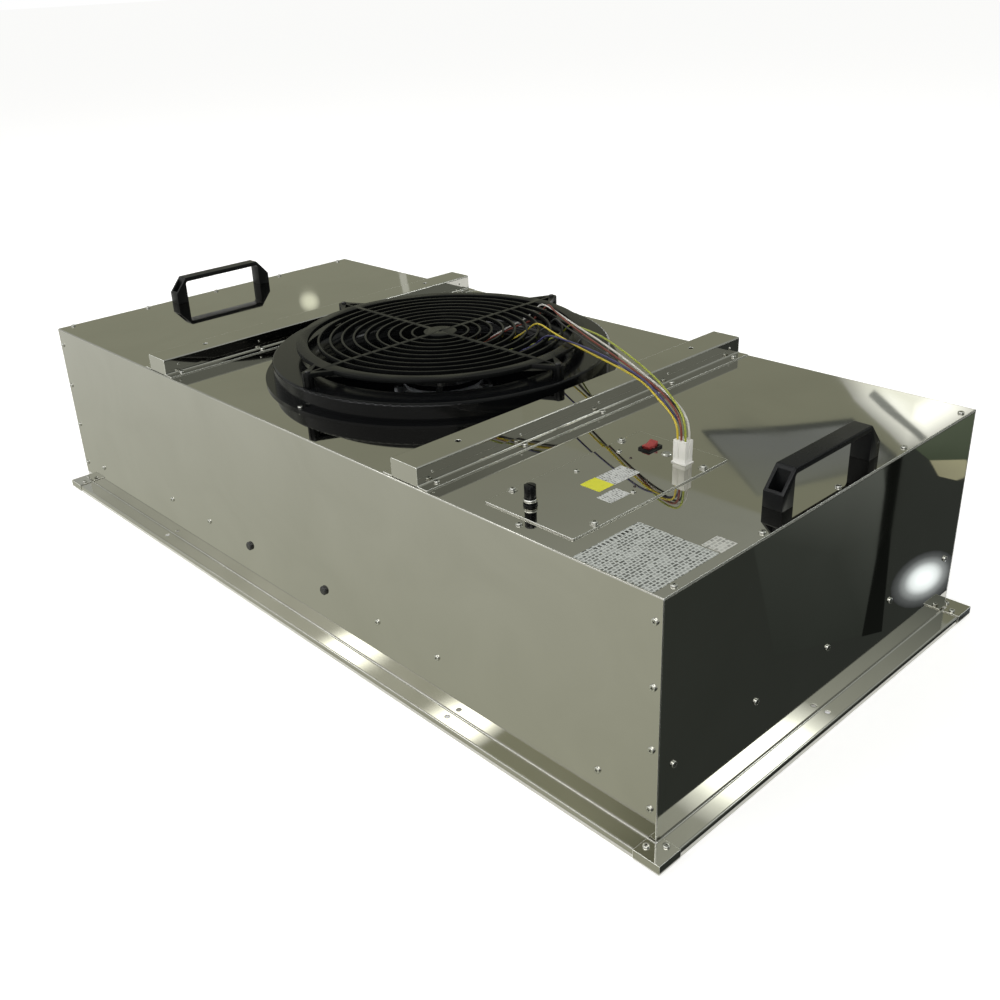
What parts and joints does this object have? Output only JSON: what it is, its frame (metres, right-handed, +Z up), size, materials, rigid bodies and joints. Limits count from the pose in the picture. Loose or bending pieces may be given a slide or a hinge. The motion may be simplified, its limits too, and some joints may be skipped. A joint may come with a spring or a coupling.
{
  "type": "fan filter unit",
  "caption": "Long stainless ceiling box with a guarded round fan inlet, two deck rails, two lifting handles, an electrical cover and a pleated filter in its open base.",
  "frame": {"origin": "middle of the base, on the plane that the lips of the base flange stand on", "axes": "+X along the long side towards the electrical cover, +Y to the back, +Z up through the fan inlet"},
  "size_m": [1.1774, 0.5774, 0.3296],
  "materials": {
    "stainless": "mirror-polished stainless sheet",
    "screw_steel": "bright zinc-plated",
    "galvanised": "galvanised sheet",
    "black_steel": "blackened steel",
    "anodised": "natural anodised",
    "white_steel": "powder-coated",
    "filter_paper": "pleated glass paper",
    "gasket_foam": "cellular",
    "black_abs": "gloss",
    "black_nylon": "satin",
    "cast_aluminium": "die cast",
    "bearing_steel": "ground",
    "magnet": "bonded ferrite",
    "handle_nylon": "fine grain",
    "circuit_board": "solder mask",
    "led_resin": "clear resin, unlit",
    "capacitor_can": "drawn",
    "rocker_red": "gloss",
    "fuse_glass": "clear",
    "white_nylon": "natural",
    "bezel_chrome": "plated",
    "lens_resin": "smoked",
    "pvc_yellow": "extruded",
    "pvc_green": "extruded, green with a yellow stripe",
    "pvc_white": "extruded",
    "pvc_blue": "extruded",
    "pvc_brown": "extruded",
    "pvc_black": "extruded"
  },
  "bodies": {
    "unit": {"casing_shell": "stainless", "end_panel_right": "stainless", "end_panel_left": "stainless", "corner_plate_front_left": "stainless", "corner_plate_front_right": "stainless", "corner_plate_back_left": "stainless", "corner_plate_back_right": "stainless", "casing_screws": "screw_steel", "corner_plate_screws": "screw_steel", "filter_seat": "galvanised", "wall_bolts": "black_steel", "wall_nuts": "screw_steel", "filter_frame": "anodised", "filter_net": "white_steel", "filter_media": "filter_paper", "filter_gasket": "gasket_foam", "filter_clamps": "galvanised", "inlet_ring": "black_abs", "ring_screws": "screw_steel", "fan_guard": "black_nylon", "guard_screws": "black_steel", "motor_stator": "cast_aluminium", "motor_bolts": "screw_steel", "motor_bearings": "bearing_steel", "deck_rail_left": "stainless", "deck_rail_right": "stainless", "rail_screws": "screw_steel", "handle_left": "handle_nylon", "handle_right": "handle_nylon", "handle_bolts": "black_steel", "handle_nuts": "screw_steel", "control_cover": "stainless", "cover_screws": "screw_steel", "control_tray": "galvanised", "speed_board": "circuit_board", "board_screws": "screw_steel", "status_leds": "led_resin", "run_capacitor": "capacitor_can", "switch_body": "black_abs", "fuse_body": "black_abs", "fuse_nut": "black_abs", "connector_socket": "white_nylon", "connector_plug": "white_nylon", "lamp_bezel": "bezel_chrome", "lamp_lens": "lens_resin", "wire_yellow": "pvc_yellow", "wire_earth": "pvc_green", "wire_white": "pvc_white", "wire_blue": "pvc_blue", "wire_brown": "pvc_brown", "wire_black": "pvc_black"},
    "rotor": {"motor_shaft": "bearing_steel", "motor_rotor": "cast_aluminium", "rotor_magnets": "magnet", "impeller_shroud": "black_nylon", "impeller_wheel": "black_nylon", "wheel_screws": "screw_steel"},
    "rocker": {"rocker": "rocker_red"},
    "fuse_cap": {"fuse_cap": "black_abs", "fuse_link": "fuse_glass"}
  },
  "joints": [
    {"name": "impeller_spin", "type": "hinge", "parent": "unit", "child": "rotor", "pos_m": [0, 0, 0.19], "axis": [0, 0, 1], "continuous": true},
    {"name": "rocker_tilt", "type": "hinge", "parent": "unit", "child": "rocker", "pos_m": [0.375, -0.045, 0.2627], "axis": [1, 0, 0], "range_deg": [-22, 0]},
    {"name": "fuse_cap_turn", "type": "hinge", "parent": "unit", "child": "fuse_cap", "pos_m": [0.375, -0.22, 0.27], "axis": [0, 0, 1], "range_deg": [0, 90]}
  ]
}
